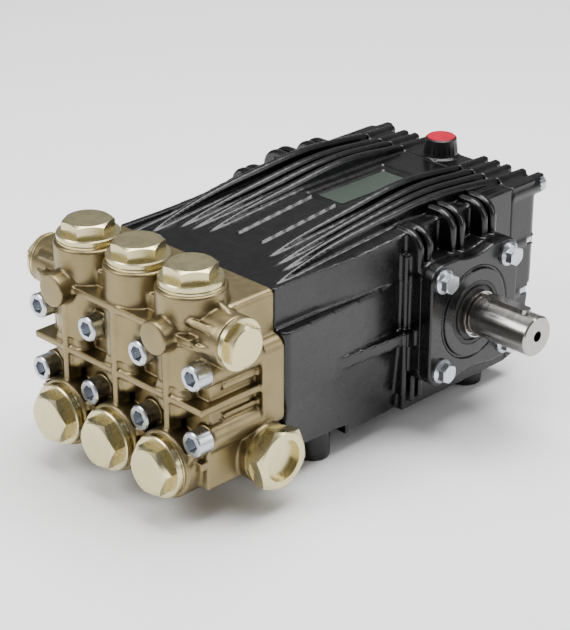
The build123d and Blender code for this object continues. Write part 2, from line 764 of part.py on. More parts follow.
def rod_shape(x, y, z):
    """Big end of a rod with its bolt bosses, before it is split."""
    reach = rod_bolt_z + rod_bolt_wall
    body = rod_x(big_end_r, x - big_end_half, x + big_end_half, y, z)
    return body + box(x - big_end_half, x + big_end_half, y - rod_bolt_seat, y + rod_bolt_seat, z - reach, z + reach)


def connecting_rod(x, y, z):
    """Rod body with half of the big end; its cap is separate."""
    small_y = y - rod_length
    body = rod_shape(x, y, z)
    body += box(x - shank_flange, x + shank_flange, small_y, y, z - shank_half, z + shank_half)
    for side in (-1, 1):
        middle = x + side * (shank_flange - 1)
        body -= box(middle - 2, middle + 2, small_y + small_end_r + 2, y - big_end_r - 3.5,
                    z - shank_half + 2.5, z + shank_half - 2.5)
    body += rod_x(small_end_r, x - small_end_half, x + small_end_half, small_y, z)
    body &= box(x - 20, x + 20, small_y - 20, y - 0.1, z - 60, z + 60)
    body -= rod_x(pin_r + fit, x - 20, x + 20, y, z)
    body -= rod_x(wrist_pin_r + seat, x - 20, x + 20, small_y, z)
    for side in (-1, 1):
        body -= rod_y(rod_bolt_r + seat, y - rod_bolt_seat + 1, y + 1, x, z + side * rod_bolt_z)
    return body


def rod_cap(x, y, z):
    body = rod_shape(x, y, z) & box(x - 20, x + 20, y + 0.1, y + 40, z - 60, z + 60)
    body -= rod_x(pin_r + fit, x - 20, x + 20, y, z)
    for side in (-1, 1):
        body -= rod_y(rod_bolt_r + seat, y - 1, y + 40, x, z + side * rod_bolt_z)
        body -= rod_y(rod_bolt_head_r + 0.3, y + rod_bolt_seat, y + 40, x, z + side * rod_bolt_z)
    return body


def rod_bolts(x, y, z):
    bolt = socket_screw(rod_bolt_r, rod_bolt_head_r, 5.0, 4.0, 2 * rod_bolt_seat - 2)
    return [Pos(x, y + rod_bolt_seat, z + side * rod_bolt_z) * Rot(-90, 0, 0) * bolt for side in (-1, 1)]


def crosshead(x, wrist_y):
    front = wrist_y - crosshead_length
    body = rod_y(crosshead_r, front, wrist_y + crosshead_tail, x, axis_z)
    body -= rod_y(crosshead_bore_r, wrist_y - crown_inner, wrist_y + crosshead_tail + 1, x, axis_z)
    body -= rod_x(wrist_pin_r + seat, x - 30, x + 30, wrist_y, axis_z)
    body += rod_y(plunger_rod_r, front - plunger_rod_length, front + 1, x, axis_z)
    return body


def plunger(x, wrist_y):
    rear = wrist_y - crosshead_length - plunger_rod_length
    body = rod_y(plunger_r, rear - plunger_length, rear, x, axis_z)
    return chamfer(body.faces().sort_by(Axis.Y)[0].edges(), 1.0)


# ---------------------------------------------------------------- head
def head_screw_places():
    return [(sx * side, axis_z + dz) for sx in screw_x for side in (-1, 1) for dz in (-screw_z, screw_z)]


def head_flange():
    upper = box(-case_front_half, case_front_half, case_front_y - flange_top_depth, case_front_y,
                axis_z, axis_z + flange_top)
    upper = fillet(near_edges(upper, Axis.Y, (-999, -999, axis_z + 20), (999, 999, 999), 5), 4)
    lower = box(-case_front_wide, case_front_wide, flange_y, case_front_y,
                axis_z + flange_step_bottom, axis_z + flange_step_top)
    lower = fillet(lower.edges().filter_by(Axis.Y), 9)
    return upper + lower


def gusset(angle):
    """A triangular rib from an outer tower to the discharge boss, turned about the port axis."""
    outline = [(pitch + 8, 0), (discharge_x - 3, 0), (discharge_x - 3, discharge_boss_r - 1),
               (pitch + 20, discharge_boss_r + 5), (pitch + 8, discharge_boss_r + 5)]
    plate = slab_y(outline, -rib / 2, rib / 2)
    return Pos(0, tower_y, discharge_axis_z) * Rot(angle, 0, 0) * plate


def head_panels():
    """Panels and ribs of the head's front and sides."""
    core_half = case_front_wide - panel_inset
    rim_half = case_front_wide - 2
    web_y = head_front_y + panel_depth
    ledge_z = axis_z + top_rib + rib / 2
    body = box(-core_half, core_half, web_y, flange_y + 1, axis_z - panel_half, axis_z + panel_half - 12)
    body += box(-case_front_half + 7, case_front_half - 7, web_y, flange_y + 1, axis_z, ledge_z)
    for x in cylinders:
        body += box(x - rib / 2, x + rib / 2, head_front_y, web_y + 1, suction_z + 10, ledge_z)
    body += box(-core_half + 3, core_half - 3, head_front_y, web_y + 1, axis_z + top_rib - rib / 2, ledge_z)
    low_z = axis_z - suction_drop / 2 - 12
    body += box(-core_half + 3, core_half - 3, head_front_y, web_y + 1, low_z - rib / 2, low_z + rib / 2)
    # the middle rib wraps round the sides
    body += box(-rim_half, rim_half, head_front_y + 1, flange_y + 1, axis_z - rib / 2, axis_z + rib / 2)
    for z in (axis_z - 11, axis_z + 11):
        body += both_sides(box(core_half - 1, core_half + 3, web_y + 10, flange_y + 1, z - 2, z + 2))
    return body


def pump_head():
    body = head_flange() + head_panels()
    for x, z in head_screw_places():
        body += rod_y(screw_boss_r, screw_face_y, flange_y + 1, x, z)
    # suction block and gallery
    body += box(-case_half, case_half, block_front_y, case_front_y - 2, suction_z - block_bottom, suction_z + block_top)
    body += rod_x(suction_gallery_r + gallery_wall, -case_half, case_half, suction_y, suction_z)
    # domes over the ends of the plunger chambers
    for x in cylinders:
        dome = rod_y(dome_r, head_front_y + 3, head_front_y + panel_depth + 3, x, axis_z)
        body += fillet(dome.edges().group_by(Axis.Y)[0], 6)
    # towers, suction bosses, round lugs and the blocks between the towers
    for x in cylinders:
        tower = rod_z(tower_r, axis_z + 10, tower_face_z, x, tower_y)
        body += fillet(tower.edges().group_by(Axis.Z)[-1], tower_lip)
        boss = rod_y(tower_r, suction_face_y, block_front_y + 20, x, suction_z)
        body += fillet(boss.edges().group_by(Axis.Y)[0], tower_lip)
    for x in (-pitch, pitch):
        body += rod_y(pad_r, head_front_y - pad_proud, tower_y, x, axis_z + top_rib - 1)
    for x in (-pitch / 2, pitch / 2):
        body += box(x - bridge_half, x + bridge_half, tower_y - 12, tower_y + 14, axis_z + 40, axis_z + top_rib + 14)
    # ports
    for side in (-1, 1):
        x0, x1 = sorted((side * pitch, side * discharge_x))
        body += rod_x(discharge_boss_r, x0, x1, tower_y, discharge_axis_z)
        x0, x1 = sorted((side * (case_half - 2), side * suction_x))
        body += rod_x(suction_boss_r, x0, x1, suction_y, suction_z)
    for angle in (-8, 55, 98):
        body += both_sides(gusset(angle))
    lug = box(case_half - 14, case_half, block_front_y - 6, block_front_y + 1, suction_z + 3, suction_z + 9)
    body += both_sides(lug)
    return body - head_bores()


def head_bores():
    """Valve bores, chambers, galleries, port threads and screw holes of the head."""
    plug_depth = cap_thread + cap_nose + cap_room
    cut = []
    for x in cylinders:
        cut += [
            rod_z(cap_thread_r + seat, tower_face_z - plug_depth, tower_face_z + 1, x, tower_y),
            rod_z(valve_bore_r, tower_face_z - valve_depth, tower_face_z, x, tower_y),
            rod_z(port_passage_r, axis_z, tower_face_z - valve_depth + 1, x, tower_y),
            rod_y(cap_thread_r + seat, suction_face_y - 1, suction_face_y + plug_depth, x, suction_z),
            rod_y(valve_bore_r, suction_face_y, suction_face_y + suction_valve_depth, x, suction_z),
            rod_y(port_passage_r, suction_face_y + suction_valve_depth - 1, suction_y, x, suction_z),
            rod_z(inlet_passage_r, suction_z, axis_z, x, suction_face_y + plug_depth + 4.5),
            rod_y(chamber_r, head_front_y + chamber_wall, packing_front_y + 1, x, axis_z),
            rod_y(packing_r, packing_front_y, case_front_y + 1, x, axis_z),
        ]
    cut.append(rod_x(discharge_gallery_r, -discharge_x - 1, discharge_x + 1, tower_y, discharge_axis_z))
    cut.append(rod_x(suction_gallery_r, -suction_x - 1, suction_x + 1, suction_y, suction_z))
    discharge_port = rod_x(discharge_thread_r + seat, discharge_x - discharge_thread - 2, discharge_x + 1,
                           tower_y, discharge_axis_z)
    suction_port = rod_x(suction_thread_r + seat, suction_x - suction_thread - 2, suction_x + 1, suction_y, suction_z)
    cut += [discharge_port, mirrored(discharge_port), suction_port, mirrored(suction_port)]
    for x, z in head_screw_places():
        cut.append(rod_y(screw_r + screw_clear, head_front_y - 20, case_front_y + 1, x, z))
        cut.append(rod_y(screw_head_r + 0.6, head_front_y - 30, screw_face_y, x, z))
    return cut


def head_screws():
    length = case_front_y - screw_face_y + screw_bite
    screw = socket_screw(screw_r, screw_head_r, screw_head, screw_socket, length)
    return [Pos(x, screw_face_y, z) * Rot(90, 0, 0) * screw for x, z in head_screw_places()]


def valve_cap(turn):
    """A valve cap with its collar's underside at the origin, hexagon upwards."""
    cap = Pos(0, 0, cap_collar / 2) * Cylinder(cap_collar_r, cap_collar)
    cap = chamfer(cap.edges().group_by(Axis.Z)[-1], 0.8)
    cap -= Pos(0, 0, 1.9) * (Cylinder(cap_collar_r + 1, 1.0) - Cylinder(cap_collar_r - 1.2, 3))
    cap += Pos(0, 0, cap_collar) * hexagon(cap_hex, cap_hex_height, turn)
    cap += Pos(0, 0, -cap_thread / 2) * Cylinder(cap_thread_r, cap_thread)
    return cap + Pos(0, 0, -cap_thread - cap_nose / 2) * Cylinder(cap_nose_r, cap_nose)


def at_tower(x, shape):
    """Place a shape modelled on a valve bore's face, over a tower."""
    return Pos(x, tower_y, tower_face_z) * shape


def at_suction(x, shape):
    """Place a shape modelled on a valve bore's face, in front of a suction bore."""
    return Pos(x, suction_face_y, suction_z) * Rot(90, 0, 0) * shape


def cap_o_ring():
    return Pos(0, 0, -cap_thread - cap_nose / 2) * Torus((cap_thread_r + cap_nose_r) / 2, cap_ring_r)


def valve_seat(shoulder):
    """Seat ring; shoulder is its underside, measured down from the bore's face."""
    body = Pos(0, 0, -shoulder + seat_height / 2) * Cylinder(valve_bore_r - seat, seat_height)
    return body - Pos(0, 0, -shoulder) * Cylinder(seat_bore_r, 4 * seat_height)


def valve_plate(shoulder):
    return Pos(0, 0, -shoulder + seat_height + plate_height / 2) * Cylinder(plate_r, plate_height)


def valve_cage(shoulder):
    """Cage between the seat and the cap's nose, open at four sides."""
    bottom = -shoulder + seat_height
    top = -cap_thread - cap_nose
    body = Pos(0, 0, (top + bottom) / 2) * Cylinder(cage_r, top - bottom)
    body -= Pos(0, 0, (top + bottom) / 2 - cage_roof) * Cylinder(cage_bore_r, top - bottom)
    middle = (top + bottom) / 2
    for turn in (0, 90):
        body -= Pos(0, 0, middle - 1) * Rot(0, 0, turn) * Box(2 * cage_r + 2, cage_window, top - bottom - 11)
    return body


def valve_spring(shoulder):
    bottom = -shoulder + seat_height + plate_height + spring_wire_r
    top = -cap_thread - cap_nose - cage_roof - spring_wire_r
    path = Helix((top - bottom) / spring_turns, top - bottom, spring_r, center=(0, 0, bottom))
    start = Plane(origin=path @ 0, z_dir=path % 0)
    return sweep(start * Circle(spring_wire_r), path=path, is_frenet=True)


def port_plug(thread_r, across, collar_r, height, length, recess, turn):
    """A hexagon plug with its flange's underside at the origin, hexagon upwards."""
    plug = Pos(0, 0, 1.0) * Cylinder(collar_r, 2.0)
    plug += Pos(0, 0, 2.0) * hexagon(across, height - 2.0, turn)
    plug += Pos(0, 0, -length / 2) * Cylinder(thread_r, length)
    if recess:
        plug -= Pos(0, 0, height) * Cylinder(recess, height - 3.0)
    return plug


def discharge_plug():
    plug = port_plug(discharge_thread_r, discharge_hex, discharge_collar_r, discharge_head, discharge_thread, 0, 4)
    return Pos(discharge_x + washer, tower_y, discharge_axis_z) * Rot(0, 90, 0) * plug


def suction_plug():
    plug = port_plug(suction_thread_r, suction_hex, suction_collar_r, suction_head, suction_thread,
                     suction_recess_r, 15)
    return Pos(suction_x + washer, suction_y, suction_z) * Rot(0, 90, 0) * plug


def port_washers():
    small = tube_x(discharge_collar_r - 0.5, discharge_thread_r + 0.3, discharge_x, discharge_x + washer,
                   tower_y, discharge_axis_z)
    large = tube_x(suction_collar_r - 1, suction_thread_r + 0.3, suction_x, suction_x + washer,
                   suction_y, suction_z)
    return [small, mirrored(small), large, mirrored(large)]


def plunger_stack(x):
    """Packings, rings and retainer of one plunger, from the chamber outwards."""
    clear = plunger_r + 0.3
    y = packing_front_y
    support = tube_y(packing_r - seat, clear, y, y + 6, x, axis_z)
    high = tube_y(packing_r - seat, plunger_r + fit, y + 6, y + 15, x, axis_z)
    middle = tube_y(packing_r - seat, clear, y + 15, y + 22, x, axis_z)
    low = tube_y(packing_r - seat, plunger_r + fit, y + 22, y + 29, x, axis_z)
    retainer = tube_y(packing_r - seat, clear, y + 29, case_front_y, x, axis_z)
    retainer += tube_y(plunger_r + 4, clear, case_front_y - 1, case_front_y + 9, x, axis_z)
    return [high, low], [support, middle, retainer]


def oil_seal(x):
    body = tube_y(oil_seal_r, plunger_rod_r + fit, seal_front_y, seal_rear_y, x, axis_z)
    return body - tube_y(oil_seal_r - 2, plunger_rod_r + 2, seal_front_y - 1, seal_rear_y - 2.5, x, axis_z)


# ---------------------------------------------------------------- oil fittings and plate
def oil_filler_cap():
    base = filler_boss_z
    cap = Pos(0, filler_y, base) * Cone(filler_cap_r, filler_cap_r - 1.4, filler_cap_height,
                                        align=(Align.CENTER, Align.CENTER, Align.MIN))
    cap = chamfer(cap.edges().group_by(Axis.Z)[-1], 0.8)
    for i in range(20):
        groove = rod_z(0.7, base + 1.5, base + filler_cap_height - 3.5, filler_cap_r - 0.4, 0)
        cap -= Pos(0, filler_y, 0) * Rot(0, 0, i * 18) * groove
    cap -= rod_z(filler_disc_r, base + filler_cap_height - 1.6, base + 40, 0, filler_y)
    cap += rod_z(filler_thread_r, base - filler_thread, base + 1, 0, filler_y)
    return cap - rod_z(stick_r + seat, base - filler_thread - 1, base - stick_grip, 0, filler_y)


def filler_disc():
    top = filler_boss_z + filler_cap_height
    disc = rod_z(filler_disc_r - seat, top - 1.6, top + 0.6, 0, filler_y)
    return chamfer(disc.edges().group_by(Axis.Z)[-1], 0.5)


def dipstick():
    return rod_z(stick_r, axis_z, filler_boss_z - stick_grip, 0, filler_y)


def sight_glass():
    return rod_x(glass_r - seat, -cover_x - 1.0, -cover_x + 6, crank_y, axis_z)


def oil_drain_plug():
    plug = Pos(0, 0, 1) * Cylinder(11.0, 2) + Pos(0, 0, 2) * hexagon(drain_hex, 7)
    plug += Pos(0, 0, -5) * Cylinder(drain_r, 10)
    return Pos(-case_half, drain_y, drain_z) * Rot(0, -90, 0) * plug


def name_plate():
    margin = 1.5
    plate = box(-label_half + margin, label_half - margin, label_start_y + margin, label_end_y - margin,
                deck_rear_z - label_sink, deck_rear_z - label_sink + plate_thickness)
    return fillet(plate.edges().filter_by(Axis.Z), 1.5)


# ---------------------------------------------------------------- assembly
def solids_of(shapes):
    flat = shapes if isinstance(shapes, list) else [shapes]
    return [solid for shape in flat for solid in shape.solids()]


def write(node, shapes):
    export_step(Compound(children=solids_of(shapes)), f"parts/{node}.step")


def main():
    os.makedirs("parts", exist_ok=True)
    write("crankcase", crankcase())
    write("rear_cover", rear_cover())
    write("rear_cover_gasket", rear_cover_gasket())
    write("rear_cover_screws", rear_cover_screws())
    write("bearing_cover_drive_side", bearing_cover(lip_seal_r))
    write("bearing_cover_blind_side", mirrored(bearing_cover(glass_r)))
    write("bearing_cover_bolts", bearing_cover_bolts())

    write("crankshaft", crankshaft())
    write("shaft_key", shaft_key())
    write("shaft_seal", shaft_seal())
    inner, outer, balls = bearing_rings()
    write("bearing_inner_rings", [inner, mirrored(inner)])
    write("bearing_outer_rings", [outer, mirrored(outer)])
    write("bearing_balls", balls + [mirrored(ball) for ball in balls])
    for number, (x, pin, wrist_y) in enumerate(zip(cylinders, crank_pins, wrist_ys), start=1):
        write(f"connecting_rod_{number}", connecting_rod(x, *pin))
        write(f"rod_cap_{number}", rod_cap(x, *pin))
        write(f"rod_bolts_{number}", rod_bolts(x, *pin))
        write(f"wrist_pin_{number}", rod_x(wrist_pin_r, x - wrist_pin_half, x + wrist_pin_half,
                                           pin[0] - rod_length, pin[1]))
        write(f"crosshead_{number}", crosshead(x, wrist_y))
        write(f"plunger_{number}", plunger(x, wrist_y))

    write("pump_head", pump_head())
    write("head_screws", head_screws())
    write("discharge_valve_caps", [at_tower(x, valve_cap(-4)) for x in cylinders])
    write("suction_valve_caps", [at_suction(x, valve_cap(5)) for x in cylinders])
    seats = [at_tower(x, valve_seat(valve_depth)) for x in cylinders]
    write("valve_seats", seats + [at_suction(x, valve_seat(suction_valve_depth)) for x in cylinders])
    cages = [at_tower(x, valve_cage(valve_depth)) for x in cylinders]
    write("valve_cages", cages + [at_suction(x, valve_cage(suction_valve_depth)) for x in cylinders])
    for number, x in enumerate(cylinders, start=1):
        write(f"discharge_plate_{number}", at_tower(x, valve_plate(valve_depth)))
        write(f"suction_plate_{number}", at_suction(x, valve_plate(suction_valve_depth)))
    write("discharge_springs", [at_tower(x, valve_spring(valve_depth)) for x in cylinders])
    write("suction_springs", [at_suction(x, valve_spring(suction_valve_depth)) for x in cylinders])
    write("discharge_port_plugs", [discharge_plug(), mirrored(discharge_plug())])
    write("suction_port_plugs", [suction_plug(), mirrored(suction_plug())])
    write("port_plug_washers", port_washers())

    packings = []
    rings = []
    for x in cylinders:
        soft, hard = plunger_stack(x)
        packings += soft
        rings += hard
    write("plunger_packings", packings)
    write("packing_rings", rings)
    write("oil_seals", [oil_seal(x) for x in cylinders])
    o_rings = [at_tower(x, cap_o_ring()) for x in cylinders]
    o_rings += [at_suction(x, cap_o_ring()) for x in cylinders]
    write("o_rings", o_rings + [cover_ring(), mirrored(cover_ring())])

    write("oil_filler_cap", oil_filler_cap())
    write("filler_disc", filler_disc())
    write("dipstick", dipstick())
    write("sight_glass", sight_glass())
    write("oil_drain_plug", oil_drain_plug())
    write("name_plate", name_plate())


main()
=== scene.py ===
"""Finishes, floor, light and camera for the triplex plunger pump, laid out as an add-on."""

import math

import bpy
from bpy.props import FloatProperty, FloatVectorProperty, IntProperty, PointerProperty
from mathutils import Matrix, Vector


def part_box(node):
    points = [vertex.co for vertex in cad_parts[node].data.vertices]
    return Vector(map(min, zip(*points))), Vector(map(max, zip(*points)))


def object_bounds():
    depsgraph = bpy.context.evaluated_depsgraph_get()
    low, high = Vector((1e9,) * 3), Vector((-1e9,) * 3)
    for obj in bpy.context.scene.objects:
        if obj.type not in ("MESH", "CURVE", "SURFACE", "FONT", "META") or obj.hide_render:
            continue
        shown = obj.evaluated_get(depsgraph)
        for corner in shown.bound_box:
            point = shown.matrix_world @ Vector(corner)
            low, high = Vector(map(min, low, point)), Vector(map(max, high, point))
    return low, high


bl_info = {
    "name": "Plunger pump finishes",
    "version": (1, 0, 0),
    "blender": (4, 5, 0),
    "location": "3D View > Sidebar > Pump",
    "description": "Casting, plating and machining finishes for a triplex plunger pump",
    "category": "Object",
}

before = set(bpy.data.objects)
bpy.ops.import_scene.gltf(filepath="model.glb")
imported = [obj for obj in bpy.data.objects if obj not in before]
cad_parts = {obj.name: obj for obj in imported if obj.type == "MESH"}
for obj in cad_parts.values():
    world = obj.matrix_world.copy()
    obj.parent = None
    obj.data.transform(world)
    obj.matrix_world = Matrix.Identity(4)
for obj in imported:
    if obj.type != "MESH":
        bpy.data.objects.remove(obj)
CAD_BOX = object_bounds()
MM = 0.001

SHARP_ANGLE = 35.0            # degrees; machined edges steeper than this stay sharp
CASE_FACES = 0.32             # share of the remeshed faces kept on the crankcase and rear cover
HEAD_FACES = 0.4              # and on the head
HEAD_VOXEL = 0.9              # the head's skin is this much finer than the crankcase's
COVER_SKIN = (0.6, 4, 0.5)    # bearing covers: voxel in mm, relaxing passes, share of faces kept
OIL_LINE = 0.4                # mm, half the blend between oil and air in the sight glass
ENAMEL = "black enamel on die-cast aluminium"

CAMERA_PLACE = (0.9605, -1.0016, 0.7190)
CAMERA_AZIMUTH = 45.24
CAMERA_ELEVATION = 25.39
SKY_STRENGTH = 0.3
FLOOR_CLOUD = 400.0           # mm, slow change of tone over the floor
# name, place in metres, width, height, power in watts
LIGHTS = (
    ("key", (-0.7, -1.4, 1.3), 1.0, 1.0, 26.0),
    ("side", (1.3, 0.9, 0.8), 0.25, 1.2, 7.0),
    ("top", (0.0, 0.3, 1.9), 1.6, 1.6, 80.0),
)


# ---------------------------------------------------------------- colour and node helpers
def srgb(text):
    """A hex colour as linear red, green and blue."""
    parts = [int(text[i:i + 2], 16) / 255 for i in (1, 3, 5)]
    return tuple(p / 12.92 if p <= 0.04045 else ((p + 0.055) / 1.055) ** 2.4 for p in parts)


def colour_property(name, description, text):
    """A colour setting whose default is a hex colour."""
    return FloatVectorProperty(name=name, description=description, default=srgb(text), size=3,
                               subtype="COLOR", min=0.0, max=1.0)


def put(tree, kind, settings=None, **links):
    """Add a node. Settings name its properties or sockets; links name sockets fed by other nodes."""
    made = tree.nodes.new(kind)
    for key, value in (settings or {}).items():
        if hasattr(made, key):
            setattr(made, key, value)
        else:
            made.inputs[int(key) if key.isdigit() else key].default_value = value
    for key, source in links.items():
        socket = int(key[1:]) if key[1:].isdigit() else key.replace("_", " ")
        tree.links.new(source, made.inputs[socket])
    return made


def new_material(name, **shader):
    """A material with a Principled shader whose constant values are set on its own sockets."""
    material = bpy.data.materials.new(name)
    material.use_nodes = True
    tree = material.node_tree
    surface = tree.nodes["Principled BSDF"]
    for key, value in shader.items():
        surface.inputs[key.replace("_", " ")].default_value = value
    return material, tree, surface


def noise(tree, size_mm, detail=3.0, roughness=0.55, stretch=None):
    """Noise in object space with features of a size in millimetres; stretch multiplies each axis."""
    place = put(tree, "ShaderNodeTexCoord").outputs["Object"]
    if stretch:
        place = put(tree, "ShaderNodeMapping", {"Scale": stretch}, Vector=place).outputs[0]
    return put(tree, "ShaderNodeTexNoise",
               {"Scale": 1 / (size_mm * MM), "Detail": detail, "Roughness": roughness},
               Vector=place).outputs["Fac"]


def spread(tree, value, low, high, start=0.3, end=0.7):
    """Map a value's middle range to low and high."""
    limits = {"From Min": start, "From Max": end, "To Min": low, "To Max": high}
    return put(tree, "ShaderNodeMapRange", limits, Value=value).outputs["Result"]


def two_tone(tree, factor, dark, light):
    """Blend two colours by a factor."""
    blend = {"data_type": "RGBA", "6": (*dark, 1), "7": (*light, 1)}
    return put(tree, "ShaderNodeMix", blend, _0=factor).outputs[2]


def scaled(colour, share):
    return tuple(min(1.0, c * share) for c in colour)


def relief(tree, surface, height, depth_mm, strength=1.0):
    """Bump of a real depth on a surface."""
    bump = put(tree, "ShaderNodeBump", {"Strength": strength, "Distance": depth_mm * MM}, Height=height)
    tree.links.new(bump.outputs[0], surface.inputs["Normal"])
    return bump


def edge_share(tree, start, end):
    """How far a point lies on an outer edge, from the mesh's own curvature."""
    point = put(tree, "ShaderNodeNewGeometry").outputs["Pointiness"]
    return spread(tree, point, 0.0, 1.0, start, end)


def arithmetic(tree, operation, value, number):
    """Combine a value with a fixed number."""
    return put(tree, "ShaderNodeMath", {"operation": operation, "1": number}, _0=value).outputs[0]


def radius_from(tree, centre, axes, repeat=0.0):
    """Distance from an axis through centre; repeat folds the first axis, so a row of parts shares it."""
    place = put(tree, "ShaderNodeTexCoord").outputs["Object"]
    split = put(tree, "ShaderNodeSeparateXYZ", Vector=place)
    parts = []
    for number, axis in enumerate(axes):
        value = arithmetic(tree, "SUBTRACT", split.outputs[axis], centre[axis])
        if repeat and number == 0:
            value = arithmetic(tree, "PINGPONG", value, repeat / 2)
        parts.append(arithmetic(tree, "POWER", value, 2.0))
    total = put(tree, "ShaderNodeMath", {"operation": "ADD"}, _0=parts[0], _1=parts[1]).outputs[0]
    return put(tree, "ShaderNodeMath", {"operation": "SQRT"}, _0=total).outputs[0]


def rings(tree, radius, spacing_mm):
    """Turning marks: a wave along a radius."""
    turns = arithmetic(tree, "MULTIPLY", radius, 2 * math.pi / (spacing_mm * MM))
    return put(tree, "ShaderNodeMath", {"operation": "SINE"}, _0=turns).outputs[0]


# ---------------------------------------------------------------- finishes
def painted_casting():
    """Black enamel sprayed on die-cast aluminium: clear highlights over a faint orange peel, with a
    painted highlight lightening the outer edges.
    """
    look = bpy.context.scene.pump_look
    size = bpy.context.scene.pump_size
    material, tree, surface = new_material(ENAMEL, Specular_IOR_Level=0.45)
    cloud = noise(tree, 45.0, 2.0)
    base = two_tone(tree, spread(tree, cloud, 0, 1), scaled(look.enamel, 0.8), scaled(look.enamel, 1.3))
    # Painted highlight: the outer edges, found from pointiness, are lightened towards the enamel edge
    # colour.
    edge = edge_share(tree, 0.53, 0.62)
    thin = {"data_type": "RGBA", "7": (*look.enamel_edge_highlight, 1)}
    painted_edge_highlight = put(tree, "ShaderNodeMix", thin, _0=edge, _6=base)
    tree.links.new(painted_edge_highlight.outputs[2], surface.inputs["Base Color"])
    tree.links.new(spread(tree, noise(tree, 9.0, 4.0), 0.22, 0.3), surface.inputs["Roughness"])
    relief(tree, surface, noise(tree, size.enamel_peel, 2.0), 0.02, 0.3)
    return material


def cast_brass():
    """Sand-cast brass, blasted: warm olive metal with a fine grain and hollows darkened by painted shade.
    """
    look = bpy.context.scene.pump_look
    size = bpy.context.scene.pump_size
    material, tree, surface = new_material("blasted cast brass", Metallic=1.0)
    cloud = noise(tree, 22.0, 3.0)
    brass = look.cast_brass
    tone = two_tone(tree, spread(tree, cloud, 0, 1), scaled(brass, 0.88), scaled(brass, 1.1))
    # Painted shade: where pointiness is low, in the casting's hollows, the brass is darkened towards the
    # hollow shade colour.
    hollow = edge_share(tree, 0.5, 0.4)
    painted_hollow_shade = {"data_type": "RGBA", "7": (*look.brass_hollow_shade, 1)}
    brass_with_painted_shade = put(tree, "ShaderNodeMix", painted_hollow_shade, _0=hollow, _6=tone)
    tree.links.new(brass_with_painted_shade.outputs[2], surface.inputs["Base Color"])
    tree.links.new(spread(tree, noise(tree, 6.0, 4.0), 0.33, 0.41), surface.inputs["Roughness"])
    relief(tree, surface, noise(tree, size.sand_grain, 4.0), 0.03, 0.4)
    return material


def turned_brass(name, centre, axes, repeat):
    """Brass turned on a lathe: pale gold with fine rings on its faces."""
    look = bpy.context.scene.pump_look
    size = bpy.context.scene.pump_size
    material, tree, surface = new_material(name, Metallic=1.0)
    cloud = noise(tree, 18.0, 2.0)
    brass = look.turned_brass
    tone = two_tone(tree, spread(tree, cloud, 0, 1), scaled(brass, 0.95), scaled(brass, 1.03))
    tree.links.new(tone, surface.inputs["Base Color"])
    radius = radius_from(tree, centre, axes, repeat)
    mark = rings(tree, radius, size.turned_ring)
    tree.links.new(spread(tree, noise(tree, 10.0, 3.0), 0.25, 0.31), surface.inputs["Roughness"])
    relief(tree, surface, mark, 0.004, 0.4)
    return material


def zinc_plated_steel():
    """Bright zinc plate on steel: cool silver with a slightly cloudy sheen."""
    look = bpy.context.scene.pump_look
    material, tree, surface = new_material("zinc plated steel", Metallic=1.0)
    cloud = noise(tree, 7.0, 2.0)
    tone = two_tone(tree, spread(tree, cloud, 0, 1), scaled(look.zinc, 0.92), scaled(look.zinc, 1.03))
    tree.links.new(tone, surface.inputs["Base Color"])
    tree.links.new(spread(tree, noise(tree, 4.0, 3.0), 0.26, 0.34), surface.inputs["Roughness"])
    relief(tree, surface, noise(tree, 0.8, 3.0), 0.006, 0.3)
    return material


def ground_steel():
    """Ground steel: bright, with fine scratches around the shaft."""
    look = bpy.context.scene.pump_look
    material, tree, surface = new_material("cylindrically ground steel", Metallic=1.0)
    cloud = noise(tree, 8.0, 3.0)
    steel = look.shaft_steel
    tone = two_tone(tree, spread(tree, cloud, 0, 1), scaled(steel, 0.9), scaled(steel, 1.05))
    tree.links.new(tone, surface.inputs["Base Color"])
    scratch = noise(tree, 9.0, 2.0, 0.5, (12.0, 0.4, 0.4))
    tree.links.new(spread(tree, scratch, 0.17, 0.27), surface.inputs["Roughness"])
    relief(tree, surface, scratch, 0.003, 0.3)
    return material


def forged_steel():
    """Drop-forged steel, shot blasted and oiled: dark grey with a rough skin."""
    material, tree, surface = new_material("shot-blasted forged steel", Metallic=1.0)
    tone = two_tone(tree, spread(tree, noise(tree, 10.0, 3.0), 0, 1), srgb("#55565A"), srgb("#7B7C80"))
    tree.links.new(tone, surface.inputs["Base Color"])
    tree.links.new(spread(tree, noise(tree, 2.5, 4.0), 0.34, 0.52), surface.inputs["Roughness"])
    relief(tree, surface, noise(tree, 0.9, 4.0), 0.05, 0.6)
    return material


def alumina():
    """Polished alumina ceramic: ivory and glassy, with faint grinding haze."""
    material, tree, surface = new_material("polished alumina ceramic", IOR=1.76)
    tone = two_tone(tree, spread(tree, noise(tree, 14.0, 2.0), 0, 1), srgb("#E6DFCB"), srgb("#F4F0E4"))
    tree.links.new(tone, surface.inputs["Base Color"])
    tree.links.new(spread(tree, noise(tree, 3.0, 3.0), 0.08, 0.16), surface.inputs["Roughness"])
    relief(tree, surface, noise(tree, 1.5, 2.0), 0.004, 0.3)
    return material


def nitrile_rubber():
    """Moulded nitrile rubber: near black, dull, with a faint bloom."""
    material, tree, surface = new_material("moulded nitrile rubber", IOR=1.52)
    tone = two_tone(tree, spread(tree, noise(tree, 3.0, 3.0), 0, 1), srgb("#121212"), srgb("#262626"))
    tree.links.new(tone, surface.inputs["Base Color"])
    tree.links.new(spread(tree, noise(tree, 1.2, 3.0), 0.5, 0.68), surface.inputs["Roughness"])
    relief(tree, surface, noise(tree, 0.6, 3.0), 0.02, 0.5)
    return material


def moulded_plastic(name, dark, light, rough, grain_mm):
    """Injection-moulded plastic with a spark-eroded grain."""
    material, tree, surface = new_material(name, IOR=1.49)
    tone = two_tone(tree, spread(tree, noise(tree, 6.0, 2.0), 0, 1), dark, light)
    tree.links.new(tone, surface.inputs["Base Color"])
    tree.links.new(spread(tree, noise(tree, 2.0, 3.0), rough, rough + 0.12), surface.inputs["Roughness"])
    relief(tree, surface, noise(tree, grain_mm, 2.0), 0.02, 0.5)
    return material


